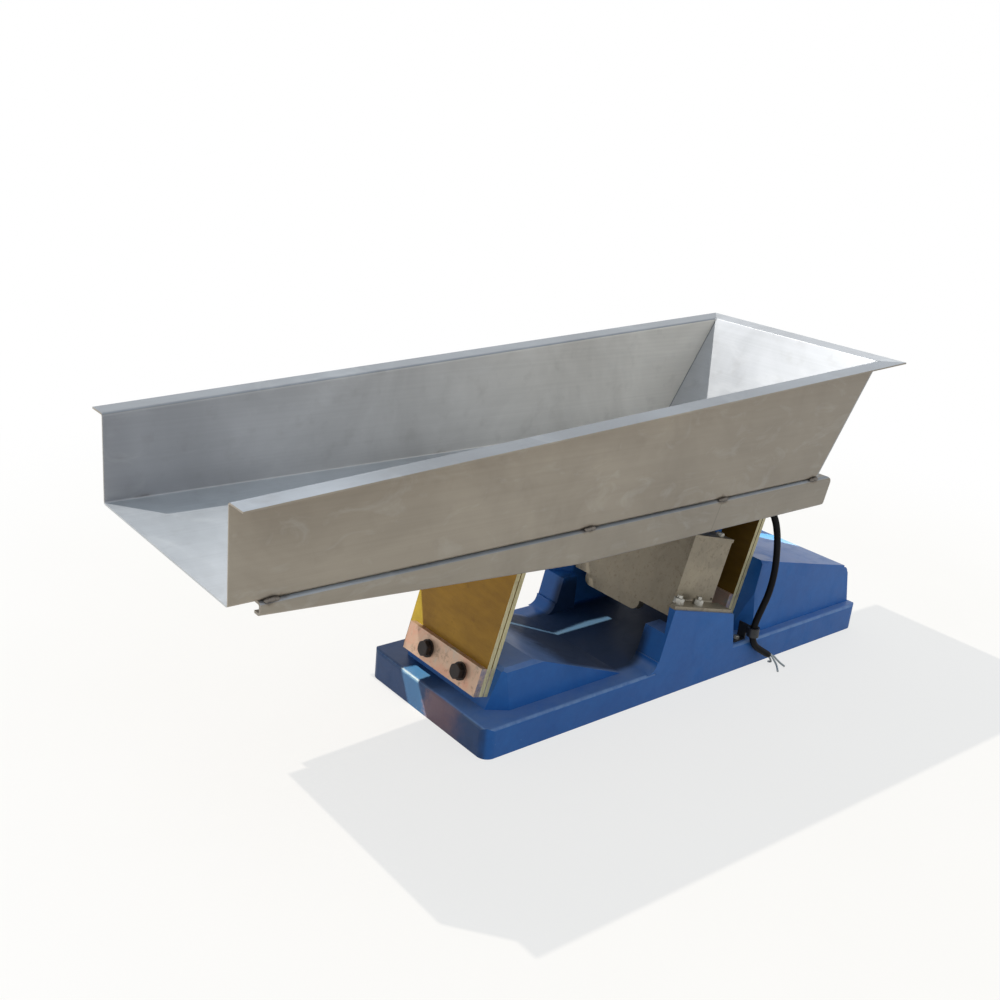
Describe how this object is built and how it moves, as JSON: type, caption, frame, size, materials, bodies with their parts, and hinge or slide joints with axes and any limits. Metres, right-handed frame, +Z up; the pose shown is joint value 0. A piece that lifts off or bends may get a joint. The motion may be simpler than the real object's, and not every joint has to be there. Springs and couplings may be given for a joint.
{
  "type": "linear vibratory feeder",
  "caption": "Electromagnetic linear vibratory feeder: an open stainless trough with a sloped inlet end, carried by inclined leaf springs on a heavy cast base",
  "frame": {"origin": "centre of the base casting's footprint, on the surface that it stands on", "axes": "+Z up; +X along the trough from the discharge end towards the inlet end; the cable is on the -Y side"},
  "size_m": [1.138, 0.358, 0.4663],
  "materials": {
    "stainless": "brushed stainless sheet, fine lengthwise grain, satin",
    "blue_paint": "blue enamel on a casting, semi-gloss, faint orange peel",
    "plated_steel": "zinc and chromate plated steel, slightly iridescent",
    "dark_steel": "black oxide bolt heads, oily",
    "lamination": "varnished silicon-steel laminations, edge lines",
    "spring_laminate": "yellow glass-fibre laminate with paler cut edges",
    "housing_steel": "bare sheet steel, dull grey",
    "bright_screw": "zinc-plated screws",
    "coil_tape": "varnished tape over a copper winding",
    "black_plastic": "black nylon cable gland",
    "black_steel": "black painted strip",
    "black_rubber": "black rubber-sheathed cable",
    "lead_sheath": "pale grey insulated leads"
  },
  "bodies": {
    "base": {"front_lower_clamp": "plated_steel", "rear_lower_clamp": "plated_steel", "front_lower_bolts": "dark_steel", "rear_lower_bolts": "dark_steel", "base_casting": "blue_paint", "front_leaf_outer": "spring_laminate", "front_leaf_inner": "spring_laminate", "rear_leaf_outer": "spring_laminate", "rear_leaf_inner": "spring_laminate", "front_lower_shim": "plated_steel", "rear_lower_shim": "plated_steel", "magnet_housing": "housing_steel", "magnet_top_plate": "housing_steel", "top_plate_screws": "bright_screw", "housing_bolts": "bright_screw", "magnet_carrier": "housing_steel", "magnet_core": "lamination", "magnet_coil": "coil_tape", "core_bolts": "dark_steel", "cable_gland": "black_plastic", "cable_clip": "black_steel", "clip_screw": "bright_screw", "cable": "black_rubber", "cable_leads": "lead_sheath"},
    "tray": {"trough_pan": "stainless", "trough_back_plate": "stainless", "near_rail": "stainless", "far_rail": "stainless", "front_spring_bracket": "blue_paint", "rear_spring_bracket": "blue_paint", "front_upper_clamp": "plated_steel", "rear_upper_clamp": "plated_steel", "front_upper_bolts": "dark_steel", "rear_upper_bolts": "dark_steel", "front_upper_shim": "plated_steel", "rear_upper_shim": "plated_steel", "armature_bracket": "blue_paint", "armature": "lamination", "armature_bolts": "dark_steel"}
  },
  "joints": [
    {"name": "tray_stroke", "type": "slide", "parent": "base", "child": "tray", "axis": [-0.9659, 0, 0.2588], "range_m": [-0.001, 0.001], "stiffness_N_per_m": 2000000, "deforming": ["front_leaf_outer", "front_leaf_inner", "rear_leaf_outer", "rear_leaf_inner"]}
  ]
}
